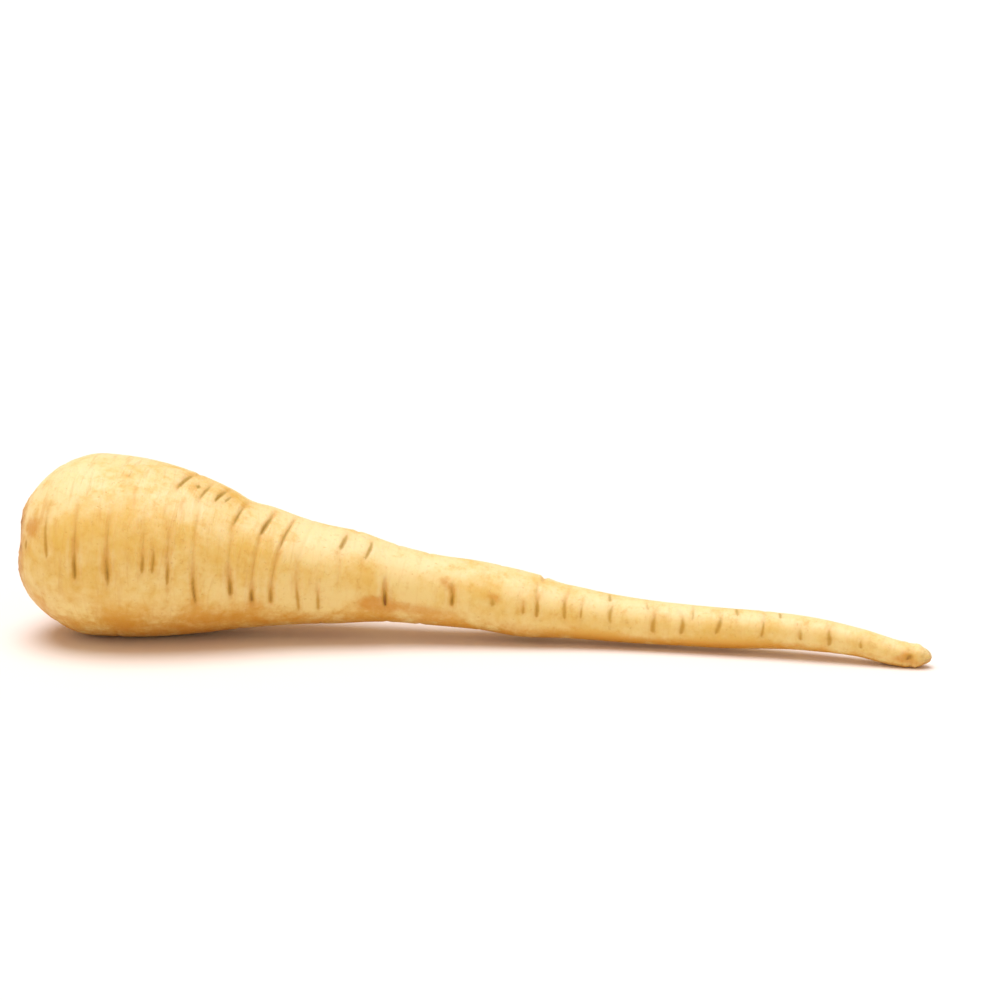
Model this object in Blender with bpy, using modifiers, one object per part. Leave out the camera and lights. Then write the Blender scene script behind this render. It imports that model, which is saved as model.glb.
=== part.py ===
"""A trimmed parsnip lying on its side: the bent, tapering taproot and the leaf stubs in its crown.

Metres, +Z up. The crown faces -X and the tip points along +X. The origin is on the surface
that the parsnip lies on, under the middle of its bounding box.
"""

import math
import random

import bmesh
import bpy
import numpy as np

# Sizes and stations are in millimetres. A station is a distance along the centreline from the crown.
MM = 0.001

ROOT_LENGTH = 260.0
SHOULDER_RADIUS = 26.0
SHOULDER_STATION = 25.0
SHOULDER_DEPTH = 22.0
TIP_STATION = 254.0
TIP_RADIUS = 3.4

# Radius of the body behind the shoulder, down to the round end of the tip
BODY_RADII = [
    (SHOULDER_STATION, SHOULDER_RADIUS),
    (32.0, 25.8),
    (40.0, 25.0),
    (49.0, 23.3),
    (58.0, 21.0),
    (66.0, 18.8),
    (82.0, 15.2),
    (93.0, 13.7),
    (111.0, 10.8),
    (122.0, 9.9),
    (134.0, 9.6),
    (146.0, 9.2),
    (157.0, 7.7),
    (176.0, 6.35),
    (195.0, 5.8),
    (208.0, 5.4),
    (220.0, 4.95),
    (239.0, 3.95),
    (TIP_STATION, TIP_RADIUS),
]

# The root lies on its shoulder and its tip, and its underside is flat below this height
FLAT_LEVEL = 0.45

# Height of the centreline above the lowest point that a full round underside would have
CENTRE_HEIGHTS = [
    (0.0, 26.9),
    (8.0, 26.2),
    (18.0, 26.2),
    (30.0, 25.95),
    (40.0, 25.05),
    (58.0, 22.7),
    (75.0, 20.2),
    (99.0, 17.6),
    (122.0, 14.3),
    (134.0, 12.95),
    (146.0, 10.9),
    (156.0, 9.65),
    (176.0, 7.75),
    (200.0, 7.15),
    (224.0, 7.4),
    (240.0, 6.15),
    (TIP_STATION, 3.65),
    (ROOT_LENGTH, 3.7),
]

# How far the centreline bows towards +Y. Its slope at the crown turns the crown's face that way.
SIDE_BOW = [
    (0.0, 2.5),
    (8.0, 1.1),
    (16.0, 0.3),
    (25.0, 0.0),
    (40.0, 0.4),
    (58.0, 1.9),
    (75.0, 3.7),
    (99.0, 5.8),
    (122.0, 7.3),
    (146.0, 8.6),
    (162.0, 8.5),
    (192.0, 7.2),
    (224.0, 4.5),
    (240.0, 1.9),
    (TIP_STATION, 0.0),
    (ROOT_LENGTH, -0.4),
]

# The dished crown as radius and depth below the rim: the socket of the stubs and the leaf scars
RIM_RADIUS = 10.9
SOCKET_RADIUS = 6.4
SOCKET_DEPTH = 4.2
CROWN_DISH = [
    (0.0, SOCKET_DEPTH),
    (SOCKET_RADIUS, SOCKET_DEPTH),
    (SOCKET_RADIUS, 2.1),
    (6.9, 1.7),
    (7.3, 1.85),
    (7.8, 1.0),
    (8.3, 1.1),
    (8.9, 0.3),
    (9.8, -0.1),
]

# Furrows on the side towards -Y: station, middle angle, half arc and depth. Angles are degrees
# from the top of the root, positive towards -Y.
FURROWS = [
    (14.7, 66, 20, 0.25),
    (23.9, 80, 16, 0.60),
    (33.1, 82, 17, 0.55),
    (43.0, 81, 12, 0.35),
    (49.8, 84, 14, 0.35),
    (56.4, 95, 18, 0.40),
    (61.0, 14, 16, 0.45),
    (66.4, 88, 19, 0.60),
    (73.8, 60, 56, 0.55),
    (78.8, 58, 58, 0.50),
    (83.6, 98, 28, 0.40),
    (89.0, 108, 16, 0.40),
    (97.0, 30, 22, 0.30),
    (107.6, 94, 22, 0.60),
    (116.5, 20, 20, 0.25),
    (126.0, 81, 18, 0.50),
    (137.4, 78, 14, 0.30),
    (149.9, 66, 32, 0.50),
    (157.9, 38, 55, 0.40),
    (162.6, 75, 30, 0.40),
    (170.7, 60, 32, 0.35),
    (182.4, 60, 50, 0.40),
    (190.6, 59, 40, 0.40),
    (200.2, 72, 26, 0.35),
    (213.0, 55, 30, 0.35),
    (223.8, 75, 25, 0.30),
    (232.3, 60, 28, 0.30),
    (240.5, 65, 28, 0.25),
]
FURROW_HALF_WIDTH = 1.05
LIP_SHARE = 1.6
FURROW_FALL = 1.2

# A furrow is at its full depth over the first share of its half arc, and gone at the second
ARC_FULL_SHARE = 0.45
ARC_END_SHARE = 1.25

# The side away from -Y has furrows of the same kind at the same stations
HIDDEN_ARC = (150.0, 335.0)
HIDDEN_HALF_ARC = (14.0, 42.0)
HIDDEN_DEPTH = (0.25, 0.55)
HIDDEN_FURROWS_PER_STATION = 2

# Ripples round a section: a row is a number of lobes, their turn in radians a millimetre along
# the root, their turn at station 0, and their size. The first two lists are shares of the radius,
# and the last two are shifts along the root in millimetres.
SECTION_RIPPLE = [(2, -0.025, 0.0, 0.012), (3, 0.04, 0.0, 0.008)]
DISH_OVAL = [(2, 0.0, 0.9, 0.045)]
FURROW_WANDER = [(2, 0.125, -1.6, 0.55), (3, -0.07, -1.6, 0.33)]
DISH_WAVE = [(3, 0.0, -0.9, 0.42), (5, 0.0, -2.7, 0.25)]

# Stations where the ripples of the body come in and fade out, and where those of the dish end
RIPPLE_START = 8.0
RIPPLE_FULL = 20.0
RIPPLE_FADE = 250.0
RIPPLE_END = 256.0
DISH_END = 16.0

SIDES = 36
LONGEST_STEP = 5.2
TIP_RINGS = 5
WELD_DISTANCE = 0.01

# The plate of the crown fills the socket but for a gap, with a low dome and an eased edge
GAP = 0.3
PLATE_THICKNESS = 2.1
PLATE_DOME = 0.3
PLATE_EDGE = 0.5

# Leaf stubs: one row is a radius, a count, a width, a height above the crown plate and a lean
STUB_ROWS = [
    (5.2, 6, 4.9, 2.6, 0.60),
    (4.0, 5, 4.4, 3.3, 0.40),
    (2.75, 4, 3.6, 3.9, 0.20),
    (1.3, 3, 2.1, 4.1, 0.05),
]
STUB_THICKNESS = 1.05
STUB_SUNK = 0.8
STUB_SIDES = 10
STUB_CUTS = 2
STUB_TOP_SHARE = 0.72
ROW_STAGGER = 0.5

# What is drawn for each stub: a turn, shares of its height, width and lean, and its cut's slant
STUB_TURN_DRAW = 0.09
STUB_HEIGHT_DRAW = (0.72, 1.12)
STUB_WIDTH_DRAW = (0.85, 1.08)
STUB_LEAN_DRAW = (0.4, 1.3)
STUB_SLANT_DRAW = 0.55

SEED = 23

ROOT_COLOUR = (0.86, 0.60, 0.23, 1.0)
ROOT_ROUGHNESS = 0.5
STUB_COLOUR = (0.30, 0.18, 0.08, 1.0)
STUB_ROUGHNESS = 0.85
SHARP_ANGLE = 40.0


def clear_scene():
    for leftover in list(bpy.data.objects):
        bpy.data.objects.remove(leftover)


def new_collection(name):
    collection = bpy.data.collections.new(name)
    bpy.context.scene.collection.children.link(collection)
    return collection


def make_material(name, colour, roughness):
    material = bpy.data.materials.new(name)
    material.use_nodes = True
    shader = material.node_tree.nodes["Principled BSDF"]
    shader.inputs["Base Color"].default_value = colour
    shader.inputs["Roughness"].default_value = roughness
    shader.inputs["Metallic"].default_value = 0.0
    return material


def smooth_through(points, stations):
    """Values at the stations of the smooth curve through points, each a (station, value) pair."""
    knots, values = np.array(points).T
    slopes = np.gradient(values, knots)
    held = np.clip(stations, knots[0], knots[-1])
    index = np.clip(np.searchsorted(knots, held) - 1, 0, len(knots) - 2)
    width = knots[index + 1] - knots[index]
    t = (held - knots[index]) / width
    start = (1 + 2 * t) * (1 - t) ** 2 * values[index] + t * (1 - t) ** 2 * width * slopes[index]
    end = t * t * (3 - 2 * t) * values[index + 1] - t * t * (1 - t) * width * slopes[index + 1]
    return start + end


def smooth_step(values, start, full):
    """0 up to start, 1 from full on, and an even rise between them."""
    t = np.clip((values - start) / (full - start), 0.0, 1.0)
    return t * t * (3 - 2 * t)


def radius_at(station):
    """Radius of the root at one station: a round shoulder, the tapering body, a round tip."""
    if station < SHOULDER_STATION:
        inward = (SHOULDER_STATION - station) / SHOULDER_DEPTH
        return SHOULDER_RADIUS * math.sqrt(max(0.0, 1 - inward ** 2))
    if station > TIP_STATION:
        outward = (station - TIP_STATION) / (ROOT_LENGTH - TIP_STATION)
        return TIP_RADIUS * math.sqrt(max(0.0, 1 - outward ** 2))
    return float(smooth_through(BODY_RADII, np.array([station]))[0])


def rim_station():
    """Station where the shoulder has the radius of the crown's rim."""
    return SHOULDER_STATION - SHOULDER_DEPTH * math.sqrt(1 - (RIM_RADIUS / SHOULDER_RADIUS) ** 2)


def with_fill(stations):
    """The stations, with more between them where a stretch of the outline is long."""
    filled = [stations[0]]
    for following in stations[1:]:
        previous = filled[-1]
        chord = math.hypot(following - previous, radius_at(following) - radius_at(previous))
        pieces = math.ceil(chord / LONGEST_STEP)
        filled += [previous + (following - previous) * k / pieces for k in range(1, pieces + 1)]
    return filled


def root_profile():
    """Half section of the upright root as (radius, station), from the crown's centre to the tip."""
    marks = [rim_station(), TIP_STATION]
    for station, *_ in FURROWS:
        marks += [station - FURROW_HALF_WIDTH, station, station + FURROW_HALF_WIDTH]
    body = [(radius_at(station), station) for station in with_fill(sorted(marks))]
    tip = []
    for ring in range(1, TIP_RINGS + 1):
        turn = math.pi / 2 * ring / TIP_RINGS
        station = TIP_STATION + (ROOT_LENGTH - TIP_STATION) * math.sin(turn)
        tip.append((TIP_RADIUS * math.cos(turn) if ring < TIP_RINGS else 0.0, station))
    dish = [(radius, rim_station() + depth) for radius, depth in CROWN_DISH]
    return dish + body + tip


def turned_mesh(name, profile, sides):
    """Mesh of a (radius, station) profile turned about Z, with station 0 on top."""
    line = bpy.data.meshes.new(name + "_profile")
    corners = [(radius * MM, 0.0, -station * MM) for radius, station in profile]
    line.from_pydata(corners, [(k, k + 1) for k in range(len(corners) - 1)], [])
    guide = bpy.data.objects.new(name + "_profile", line)
    bpy.context.scene.collection.objects.link(guide)
    screw = guide.modifiers.new("Screw", "SCREW")
    screw.axis = "Z"
    screw.angle = math.tau
    screw.steps = sides
    screw.render_steps = sides
    screw.use_merge_vertices = True
    screw.merge_threshold = WELD_DISTANCE * MM
    mesh = evaluated_mesh(guide)
    bpy.data.objects.remove(guide)
    return mesh


def evaluated_mesh(item):
    graph = bpy.context.evaluated_depsgraph_get()
    graph.update()
    return bpy.data.meshes.new_from_object(item.evaluated_get(graph))


def read_points(mesh):
    """The mesh's points in millimetres, one row for each."""
    flat = np.empty(len(mesh.vertices) * 3)
    mesh.vertices.foreach_get("co", flat)
    return flat.reshape(-1, 3) / MM


def write_points(mesh, points):
    mesh.vertices.foreach_set("co", (points * MM).ravel())
    mesh.update()


def all_furrows():
    """The furrows that are set by hand and those drawn for the far side of the root."""
    draw = random.Random(SEED)
    furrows = list(FURROWS)
    for station, *_ in FURROWS:
        for _ in range(HIDDEN_FURROWS_PER_STATION):
            middle = draw.uniform(*HIDDEN_ARC)
            furrows.append((station, middle, draw.uniform(*HIDDEN_HALF_ARC), draw.uniform(*HIDDEN_DEPTH)))
    return furrows


def furrow_depths(stations, angles):
    """How far the furrows press the skin in. Each has a low lip along both its sides."""
    depths = np.zeros_like(stations)
    for station, middle, half_arc, depth in all_furrows():
        across = ((stations - station) / FURROW_HALF_WIDTH) ** 2
        trough = (1 - LIP_SHARE * across) * np.exp(-FURROW_FALL * across)
        away = np.abs((np.degrees(angles) - middle + 180.0) % 360.0 - 180.0)
        faded = smooth_step(away, ARC_FULL_SHARE * half_arc, ARC_END_SHARE * half_arc)
        depths += depth * trough * (1 - faded)
    return depths


def ripple(lobe_rows, angles, stations):
    """Sum of the lobes at each place round and along the root."""
    total = np.zeros_like(stations)
    for count, turn, start, size in lobe_rows:
        total += size * np.cos(count * angles + turn * stations + start)
    return total


def add_relief(points):
    """The skin of the upright root, with its furrows and the unevenness of its sections."""
    stations = -points[:, 2]
    radii = np.hypot(points[:, 0], points[:, 1])
    angles = np.arctan2(-points[:, 1], points[:, 0])
    body = smooth_step(stations, RIPPLE_START, RIPPLE_FULL)
    body *= 1 - smooth_step(stations, RIPPLE_FADE, RIPPLE_END)
    dish = smooth_step(radii, SOCKET_RADIUS, RIM_RADIUS)
    dish *= 1 - smooth_step(stations, rim_station(), DISH_END)
    outside = (radii > RIM_RADIUS) | (stations > SHOULDER_STATION)
    furrowed = np.where(outside, furrow_depths(stations, angles), 0.0)
    share = 1 + body * ripple(SECTION_RIPPLE, angles, stations) + dish * ripple(DISH_OVAL, angles, stations)
    share -= furrowed / np.maximum(radii, TIP_RADIUS)
    shift = dish * ripple(DISH_WAVE, angles, stations) - body * ripple(FURROW_WANDER, angles, stations)
    return np.column_stack([points[:, 0] * share, points[:, 1] * share, points[:, 2] + shift])


def centreline(stations):
    """Points of the root's centreline, carried on straight ahead of the crown."""
    held = np.maximum(stations, 0.0)
    return np.column_stack([held, smooth_through(SIDE_BOW, held), smooth_through(CENTRE_HEIGHTS, held)])


def laid_down(points):
    """Points of the upright root, with each section stood square on the bent centreline."""
    stations = -points[:, 2]
    held = np.clip(stations, 0.0, ROOT_LENGTH - 1.0)
    forward = centreline(held + 0.5) - centreline(held)
    forward /= np.linalg.norm(forward, axis=1, keepdims=True)
    across = np.cross([0.0, 0.0, 1.0], forward)
    across /= np.linalg.norm(across, axis=1, keepdims=True)
    upward = np.cross(forward, across)
    centres = centreline(held) + (stations - held)[:, None] * forward
    return centres + points[:, :1] * upward + points[:, 1:2] * across


def make_root(parts):
    """The taproot, with flat spots under its shoulder and its tip where it lies on the surface."""
    mesh = turned_mesh("root", root_profile(), SIDES)
    points = laid_down(add_relief(read_points(mesh)))
    points[:, 2] = np.maximum(points[:, 2], FLAT_LEVEL)
    write_points(mesh, points)
    mesh.name = "root"
    return finished("root", mesh, make_material("parsnip skin", ROOT_COLOUR, ROOT_ROUGHNESS), parts)


def finished(name, mesh, material, parts):
    mesh.materials.clear()
    mesh.materials.append(material)
    mesh.shade_smooth()
    mesh.set_sharp_from_angle(angle=math.radians(SHARP_ANGLE))
    item = bpy.data.objects.new(name, mesh)
    parts.objects.link(item)
    return item


def plate_underside():
    """Station of the crown plate's underside, a gap above the socket's floor."""
    return rim_station() + SOCKET_DEPTH - GAP


def crown_plate():
    """The plate that the stubs grow from, a gap clear of the socket in the crown."""
    under = plate_underside()
    top = under - PLATE_THICKNESS
    edge = SOCKET_RADIUS - GAP
    profile = [(0.0, top - PLATE_DOME), (edge - PLATE_EDGE, top), (edge, top + PLATE_EDGE), (edge, under)]
    return turned_mesh("crown_plate", profile + [(0.0, under)], SIDES)


def stub_piece(name, row, turn, draw):
    """One stub: a curved, tapering sheath cut off askew, sunk in the crown plate at its foot."""
    radius, _, width, height, lean = row
    width *= draw.uniform(*STUB_WIDTH_DRAW)
    height *= draw.uniform(*STUB_HEIGHT_DRAW)
    lean *= draw.uniform(*STUB_LEAN_DRAW)
    slant = draw.uniform(-STUB_SLANT_DRAW, STUB_SLANT_DRAW)
    form = bmesh.new()
    bmesh.ops.create_cone(form, cap_ends=True, segments=STUB_SIDES, radius1=1.0, radius2=1.0, depth=1.0)
    upright = [edge for edge in form.edges if edge.verts[0].co.z * edge.verts[1].co.z < 0]
    bmesh.ops.subdivide_edges(form, edges=upright, cuts=STUB_CUTS)
    bmesh.ops.triangulate(form, faces=form.faces)
    foot = PLATE_THICKNESS - plate_underside() - STUB_SUNK
    for corner in form.verts:
        across, through, rise = corner.co.x, corner.co.y, corner.co.z + 0.5
        share = 1 - (1 - STUB_TOP_SHARE) * rise
        reach = radius + lean * rise ** 2 + through * STUB_THICKNESS / 2 * share
        angle = turn + across * width / 2 * share / radius
        level = foot + rise * (height + STUB_SUNK + slant * across)
        corner.co = (reach * math.cos(angle) * MM, reach * math.sin(angle) * MM, level * MM)
    bmesh.ops.reverse_faces(form, faces=form.faces)
    mesh = bpy.data.meshes.new(name)
    form.to_mesh(mesh)
    form.free()
    return bpy.data.objects.new(name, mesh)


def stub_pieces():
    """The loose stubs, in rings round the crown's centre, in a collection of their own."""
    draw = random.Random(SEED)
    loose = new_collection("stub_pieces")
    for level, row in enumerate(STUB_ROWS):
        count = row[1]
        for number in range(count):
            stagger = ROW_STAGGER * level + draw.uniform(-STUB_TURN_DRAW, STUB_TURN_DRAW)
            turn = math.tau * (number + stagger) / count
            loose.objects.link(stub_piece(f"stub_{level}_{number}", row, turn, draw))
    return loose


def make_stubs(parts):
    """The trimmed leaf stubs, joined to the crown plate in one union."""
    loose = stub_pieces()
    plate = bpy.data.objects.new("plate", crown_plate())
    bpy.context.scene.collection.objects.link(plate)
    union = plate.modifiers.new("Union", "BOOLEAN")
    union.operation = "UNION"
    union.operand_type = "COLLECTION"
    union.collection = loose
    union.solver = "MANIFOLD"
    mesh = evaluated_mesh(plate)
    for piece in list(loose.objects) + [plate]:
        bpy.data.objects.remove(piece)
    bpy.data.collections.remove(loose)
    write_points(mesh, laid_down(read_points(mesh)))
    mesh.name = "leaf_stubs"
    return finished("leaf_stubs", mesh, make_material("dry leaf stubs", STUB_COLOUR, STUB_ROUGHNESS), parts)


def place_on_origin(items, parts):
    """Hang the pieces from an empty that puts the origin under the middle of their box."""
    points = np.vstack([read_points(item.data) for item in items]) * MM
    low = points.min(axis=0)
    high = points.max(axis=0)
    holder = bpy.data.objects.new("parsnip", None)
    holder.location = (-(low[0] + high[0]) / 2, -(low[1] + high[1]) / 2, -low[2])
    parts.objects.link(holder)
    for item in items:
        item.parent = holder


def main():
    clear_scene()
    parts = new_collection("parsnip")
    place_on_origin([make_root(parts), make_stubs(parts)], parts)
    bpy.context.view_layer.update()


main()
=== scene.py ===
import math
import random

import bpy
import numpy as np
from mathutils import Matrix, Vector, noise


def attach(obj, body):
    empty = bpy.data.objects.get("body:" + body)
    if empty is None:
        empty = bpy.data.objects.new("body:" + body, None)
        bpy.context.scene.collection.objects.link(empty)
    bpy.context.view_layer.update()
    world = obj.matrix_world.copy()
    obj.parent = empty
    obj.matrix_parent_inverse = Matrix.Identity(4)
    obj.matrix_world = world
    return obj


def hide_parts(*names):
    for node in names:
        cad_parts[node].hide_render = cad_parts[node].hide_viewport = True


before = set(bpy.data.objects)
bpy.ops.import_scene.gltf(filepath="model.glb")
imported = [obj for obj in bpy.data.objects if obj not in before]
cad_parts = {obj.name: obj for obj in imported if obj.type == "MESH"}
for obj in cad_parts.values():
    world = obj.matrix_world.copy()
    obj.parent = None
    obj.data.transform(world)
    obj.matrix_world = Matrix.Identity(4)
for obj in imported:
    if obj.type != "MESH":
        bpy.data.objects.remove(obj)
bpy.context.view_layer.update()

mm = 0.001

# Moves the root from its own axes to the model's, whose origin is under the middle of its box, in mm
originShift = np.array([-131.1705, 0.2216, -0.45])

# The root's own numbers, in mm. A station is a distance along its centreline from the crown, and an
# angle is in degrees round it from its top, positive towards the camera's side.
form = {
    "length": 260.0,
    "shoulderRadius": 26.0,
    "shoulderStation": 25.0,
    "shoulderDepth": 22.0,
    "tipStation": 254.0,       # where the rounding of the tip begins
    "tipRadius": 3.4,
    "rimRadius": 10.9,
    "socketRadius": 6.4,
    "socketDepth": 4.2,
    "radii": [                 # station and radius
        (25, 26.0), (32, 25.8), (40, 25.0), (49, 23.3), (58, 21.0), (66, 18.8), (82, 15.2),
        (93, 13.7), (111, 10.8), (122, 9.9), (134, 9.6), (146, 9.2), (157, 7.7), (176, 6.35),
        (195, 5.8), (208, 5.4), (220, 4.95), (239, 3.95), (254, 3.4),
    ],
    "heights": [               # station and height of the centreline
        (0, 26.9), (8, 26.2), (18, 26.2), (30, 25.95), (40, 25.05), (58, 22.7), (75, 20.2),
        (99, 17.6), (122, 14.3), (134, 12.95), (146, 10.9), (156, 9.65), (176, 7.75),
        (200, 7.15), (224, 7.4), (240, 6.15), (254, 3.65), (260, 3.7),
    ],
    "bows": [                  # station and sideways place of the centreline
        (0, 2.5), (8, 1.1), (16, 0.3), (25, 0.0), (40, 0.4), (58, 1.9), (75, 3.7), (99, 5.8),
        (122, 7.3), (146, 8.6), (162, 8.5), (192, 7.2), (224, 4.5), (240, 1.9), (254, 0.0),
        (260, -0.4),
    ],
    "dish": [                  # radius in the dish of the crown and depth below its rim
        (6.4, 2.1), (6.9, 1.7), (7.3, 1.85), (7.8, 1.0), (8.3, 1.1), (8.9, 0.3), (9.8, -0.1),
        (10.9, 0.0),
    ],
}


# Selects these objects alone, or nothing
def pick(*items):
    bpy.ops.object.select_all(action="DESELECT")
    for item in items:
        item.select_set(True)
    if items:
        bpy.context.view_layer.objects.active = items[0]


def setMode(mode):
    bpy.ops.object.mode_set(mode=mode)


def addPost(name, sides, radius, depth, ends="NGON"):
    pick()
    bpy.ops.mesh.primitive_cylinder_add(vertices=sides, radius=radius, depth=depth, end_fill_type=ends)
    post = bpy.context.object
    post.name = name
    return post


def applyModifiers(item):
    pick(item)
    for modifier in list(item.modifiers):
        bpy.ops.object.modifier_apply(modifier=modifier.name)


def readPoints(mesh):
    flat = np.empty(len(mesh.vertices) * 3)
    mesh.vertices.foreach_get("co", flat)
    return flat.reshape(-1, 3) / mm


def writePoints(mesh, points):
    mesh.vertices.foreach_set("co", (points * mm).ravel())
    mesh.update()


def readNormals(mesh):
    flat = np.empty(len(mesh.vertices) * 3)
    mesh.vertices.foreach_get("normal", flat)
    return flat.reshape(-1, 3)


def keepValues(mesh, name, values):
    attribute = mesh.attributes.new(name, "FLOAT", "POINT")
    attribute.data.foreach_set("value", values.astype(np.float32))


def keepVectors(mesh, name, vectors):
    attribute = mesh.attributes.new(name, "FLOAT_VECTOR", "POINT")
    attribute.data.foreach_set("vector", vectors.astype(np.float32).ravel())


# Gets ready to select edges or faces in code
def pickParts(kind):
    setMode("EDIT")
    bpy.ops.mesh.select_mode(type=kind)
    bpy.ops.mesh.select_all(action="DESELECT")
    setMode("OBJECT")


# Cuts the upright edges of a post or tube crosswise
def cutAcross(item, cuts):
    pickParts("EDGE")
    for edge in item.data.edges:
        first, second = (item.data.vertices[k].co for k in edge.vertices)
        edge.select = abs(first.z - second.z) > 1e-6
    setMode("EDIT")
    bpy.ops.mesh.subdivide(number_cuts=cuts)
    setMode("OBJECT")


# Selects the faces that look straight up, and stays in edit mode to work on them
def pickTop(item):
    pickParts("FACE")
    for face in item.data.polygons:
        face.select = face.normal.z > 0.9
    setMode("EDIT")


# Rises smoothly from 0 at start to 1 at full
def easeIn(values, start, full):
    t = np.clip((values - start) / (full - start), 0.0, 1.0)
    return t * t * (3 - 2 * t)


# A smooth curve through rows of a station and a value
def smoothThrough(rows, stations):
    knots, values = np.array(rows, float).T
    slopes = np.gradient(values, knots)
    held = np.clip(stations, knots[0], knots[-1])
    index = np.clip(np.searchsorted(knots, held) - 1, 0, len(knots) - 2)
    width = knots[index + 1] - knots[index]
    t = (held - knots[index]) / width
    start = (1 + 2 * t) * (1 - t) ** 2 * values[index] + t * (1 - t) ** 2 * width * slopes[index]
    end = t * t * (3 - 2 * t) * values[index + 1] - t * t * (1 - t) * width * slopes[index + 1]
    return start + end


def bodyRadius(stations):
    inward = np.clip((form["shoulderStation"] - stations) / form["shoulderDepth"], 0, 1)
    outward = np.clip((stations - form["tipStation"]) / (form["length"] - form["tipStation"]), 0, 1)
    radii = smoothThrough(form["radii"], stations)
    radii = np.where(inward > 0, form["shoulderRadius"] * np.sqrt(1 - inward ** 2), radii)
    return np.where(outward > 0, form["tipRadius"] * np.sqrt(1 - outward ** 2), radii)


# Where the round shoulder has closed in to the rim of the dish
rimStation = form["shoulderStation"] - form["shoulderDepth"] * math.sqrt(
    1 - (form["rimRadius"] / form["shoulderRadius"]) ** 2)


def centreline(stations):
    held = np.maximum(stations, 0.0)
    bows = smoothThrough(form["bows"], held)
    return np.column_stack([held, bows, smoothThrough(form["heights"], held)])


# Bends points of the straight root, whose x is up, y to the far side and -z along it, to their place
def laidDown(points):
    step = 0.5                 # mm ahead, for the direction of the centreline
    stations = -points[:, 2]
    held = np.clip(stations, 0.0, form["length"] - 2 * step)
    forward = centreline(held + step) - centreline(held)
    forward /= np.linalg.norm(forward, axis=1, keepdims=True)
    across = np.cross([0.0, 0.0, 1.0], forward)
    across /= np.linalg.norm(across, axis=1, keepdims=True)
    upward = np.cross(forward, across)
    centres = centreline(held) + (stations - held)[:, None] * forward
    return centres + points[:, :1] * upward + points[:, 1:2] * across + originShift


# Waves of so many round the root, with a turn for each mm along it, a start and a size
def ripple(rows, angles, stations):
    total = np.zeros_like(stations)
    for count, turn, start, size in rows:
        total += size * np.cos(count * angles + turn * stations + start)
    return total


grainStyle = {
    "shift": (7.31, -3.77, 5.13),   # how far each seed moves the noise
    "fall": 0.8,
    "step": 2.0,
}


def grain(points, scale, seed, detail=1):
    shift = Vector([seed * part for part in grainStyle["shift"]])
    found = []
    for point in points * scale:
        spot = Vector(point) + shift
        if detail == 1:
            found.append(noise.noise(spot))
        else:
            found.append(noise.fractal(spot, grainStyle["fall"], grainStyle["step"], detail))
    return np.array(found)


# Degrees from a middle, between -180 and 180
def turnFrom(degrees, middle):
    return (degrees - middle + 180.0) % 360.0 - 180.0


# The skin of the root, in mm: one tube, whose rings crowd together at the slits
rootSkin = {
    "sides": 96,
    "firstCuts": 60,           # crosswise cuts of the tube, and those between them
    "secondCuts": 15,
    "floorRings": (0.9, 2.4, 3.9, 5.2, 6.1),   # radii of the rings on the floor of the socket
    "wallRings": 5,
    "dishRings": 33,
    "tipRings": 14,
    "countStep": 0.01,         # how finely the body's rings are shared out
    "widestStep": 0.42,        # between rings where the skin is plain
    "slitStep": 0.16,          # and at a slit
    "slitBand": 0.42,          # how far the close rings reach from a slit
    "bumps": [                 # station, angle, half length, half angle and height of swellings
        (6.5, 42, 5.5, 48, 1.50), (12.5, 114, 4.5, 24, 0.70), (154.0, -5, 4.0, 42, -0.35),
        (64.6, -12, 4.2, 45, -0.85), (97.5, -5, 5.0, 45, 0.45), (125.0, -5, 9.0, 45, 0.45),
    ],
    "ringWander": [(2, 0.125, -1.6, 0.55), (3, -0.07, -1.6, 0.33)],
    "ovalBody": [(2, -0.025, 0.0, 0.012), (3, 0.04, 0.0, 0.008)],
    "ovalDish": [(2, 0.0, 0.9, 0.045)],
    "wavyDish": [(3, 0.0, -0.9, 0.42), (5, 0.0, -2.7, 0.25)],
    "dishEnd": 16.0,           # station where nothing of the dish is left
    "unevenness": {"size": 16.0, "height": 0.22, "seed": 3},
    "wrinkles": {"size": 1.9, "height": 0.042, "seed": 5},
    "wrinkleSquash": (0.25, 0.25, 1.0),
    "neckWrinkles": 0.55,      # share of the wrinkles that the neck and tail lose
    "tipRelief": {"size": 2.3, "height": 0.30, "seed": 15},
    "tipNotch": {"station": 254.6, "half": 0.9, "depth": 0.34, "facing": 1.2},
    "crownRelief": 0.16,
    "scars": {"scale": 0.9, "seed": 11},
    "spokes": {"round": 5.5, "out": 0.22, "seed": 12, "share": 0.8},
    "crownReach": (1.0, 7.0),  # behind the rim, where the bark of the crown begins to fade and ends
    "crownEnd": 15.0,          # station up to which the swellings keep off the dish
    "topFacing": 0.2,          # turn of the painted highlight on the top, which also stands for paler skin there, from straight up, in radians
    "fades": {                 # where each thing starts and where it is whole
        "body": (8.0, 20.0),            # by station
        "bodyEnd": (250.0, 256.0),
        "marks": (5.5, 8.0),
        "wrinkles": (8.0, 22.0),
        "neck": (50.0, 90.0),
        "tail": (247.0, 256.0),
        "tipEnd": (256.5, 259.3),
        "crownBark": (6.3, 7.0),        # by radius
        "swellings": (10.5, 14.0),
        # the underside's painted shade, which also stands for staining there
        "under": (0.14, 0.78),          # by the cosine of the angle from the way it faces
        # the top's painted highlight, partly paler skin, fades in by the cosine of its angle from the top
        "top": (0.35, 1.0),
        "notch": (-0.6, 0.6),
    },
}

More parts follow.
